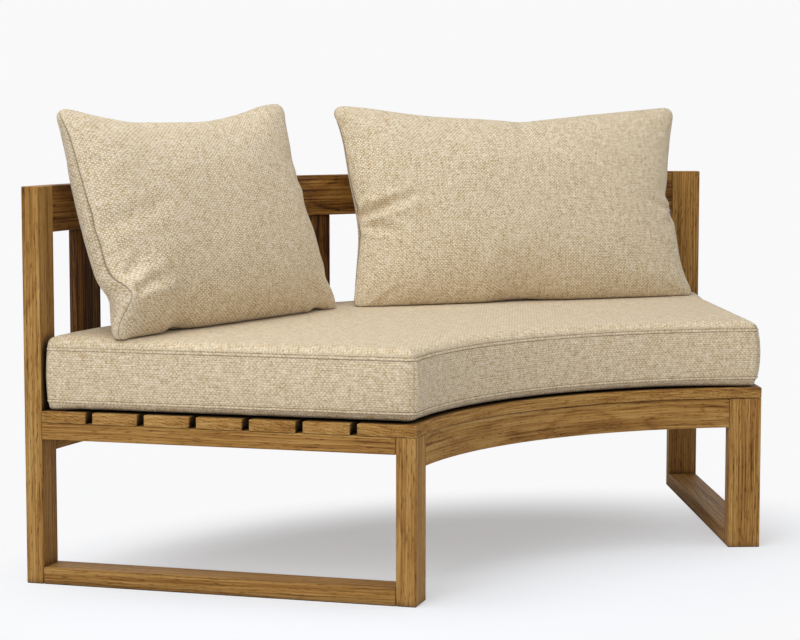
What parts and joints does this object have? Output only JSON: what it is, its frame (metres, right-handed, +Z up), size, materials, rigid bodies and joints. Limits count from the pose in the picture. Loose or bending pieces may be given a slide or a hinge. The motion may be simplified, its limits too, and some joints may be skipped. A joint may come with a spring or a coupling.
{
  "type": "curved bench section",
  "caption": "Curved slatted wooden bench section with a low open back, a loose boxed seat cushion and loose back pillows.",
  "frame": {"origin": "centre of the bounding box in plan, at the height of the floor under the runners", "axes": "+X along the bench towards the right-hand end as seen from the front, +Y from the hollow front to the back rail, +Z up"},
  "size_m": [1.7804, 0.9046, 0.8888],
  "materials": {
    "left_rear_post": "oiled teak, smooth planed",
    "left_front_leg": "oiled teak, smooth planed",
    "left_runner": "oiled teak, smooth planed",
    "left_end_rail": "oiled teak, smooth planed",
    "right_rear_post": "oiled teak, smooth planed",
    "right_front_leg": "oiled teak, smooth planed",
    "right_runner": "oiled teak, smooth planed",
    "right_end_rail": "oiled teak, smooth planed",
    "front_apron": "oiled teak, smooth planed",
    "rear_apron": "oiled teak, smooth planed",
    "top_rail": "oiled teak, smooth planed",
    "left_back_slat": "oiled teak, smooth planed",
    "middle_back_slat": "oiled teak, smooth planed",
    "right_back_slat": "oiled teak, smooth planed",
    "left_bearer": "oiled teak, smooth planed",
    "right_bearer": "oiled teak, smooth planed",
    "seat_slat_1": "oiled teak, smooth planed",
    "seat_slat_2": "oiled teak, smooth planed",
    "seat_slat_3": "oiled teak, smooth planed",
    "seat_slat_4": "oiled teak, smooth planed",
    "seat_slat_5": "oiled teak, smooth planed",
    "seat_slat_6": "oiled teak, smooth planed",
    "seat_slat_7": "oiled teak, smooth planed",
    "seat_cushion": "matt woven outdoor cloth, beige",
    "left_pillow": "matt woven outdoor cloth, beige",
    "right_pillow": "matt woven outdoor cloth, beige",
    "left_rail_screw": "plain stainless screw",
    "right_rail_screw": "plain stainless screw",
    "left_bearer_screw": "plain stainless screw",
    "right_bearer_screw": "plain stainless screw"
  },
  "bodies": {
    "frame": {"left_rear_post": "left_rear_post", "left_front_leg": "left_front_leg", "left_runner": "left_runner", "left_end_rail": "left_end_rail", "right_rear_post": "right_rear_post", "right_front_leg": "right_front_leg", "right_runner": "right_runner", "right_end_rail": "right_end_rail", "front_apron": "front_apron", "rear_apron": "rear_apron", "top_rail": "top_rail", "left_back_slat": "left_back_slat", "middle_back_slat": "middle_back_slat", "right_back_slat": "right_back_slat", "left_bearer": "left_bearer", "right_bearer": "right_bearer", "seat_slat_1": "seat_slat_1", "seat_slat_2": "seat_slat_2", "seat_slat_3": "seat_slat_3", "seat_slat_4": "seat_slat_4", "seat_slat_5": "seat_slat_5", "seat_slat_6": "seat_slat_6", "seat_slat_7": "seat_slat_7", "left_rail_screw_1": "left_rail_screw", "left_rail_screw_2": "left_rail_screw", "left_rail_screw_3": "left_rail_screw", "left_rail_screw_4": "left_rail_screw", "left_rail_screw_5": "left_rail_screw", "left_rail_screw_6": "left_rail_screw", "left_rail_screw_7": "left_rail_screw", "right_rail_screw_1": "right_rail_screw", "right_rail_screw_2": "right_rail_screw", "right_rail_screw_3": "right_rail_screw", "right_rail_screw_4": "right_rail_screw", "right_rail_screw_5": "right_rail_screw", "right_rail_screw_6": "right_rail_screw", "right_rail_screw_7": "right_rail_screw", "left_bearer_screw_1": "left_bearer_screw", "left_bearer_screw_2": "left_bearer_screw", "left_bearer_screw_3": "left_bearer_screw", "left_bearer_screw_4": "left_bearer_screw", "left_bearer_screw_5": "left_bearer_screw", "left_bearer_screw_6": "left_bearer_screw", "left_bearer_screw_7": "left_bearer_screw", "right_bearer_screw_1": "right_bearer_screw", "right_bearer_screw_2": "right_bearer_screw", "right_bearer_screw_3": "right_bearer_screw", "right_bearer_screw_4": "right_bearer_screw", "right_bearer_screw_5": "right_bearer_screw", "right_bearer_screw_6": "right_bearer_screw", "right_bearer_screw_7": "right_bearer_screw"},
    "seat_cushion": {"seat_cushion": "seat_cushion"},
    "left_pillow": {"left_pillow": "left_pillow"},
    "right_pillow": {"right_pillow": "right_pillow"}
  },
  "joints": [
    {"name": "seat_cushion_lift", "type": "slide", "parent": "frame", "child": "seat_cushion", "axis": [0, 0, 1], "range_m": [0, 0.45]},
    {"name": "left_pillow_lift", "type": "slide", "parent": "seat_cushion", "child": "left_pillow", "axis": [0, 0, 1], "range_m": [0, 0.3]},
    {"name": "right_pillow_lift", "type": "slide", "parent": "seat_cushion", "child": "right_pillow", "axis": [0, 0, 1], "range_m": [0, 0.3]}
  ]
}
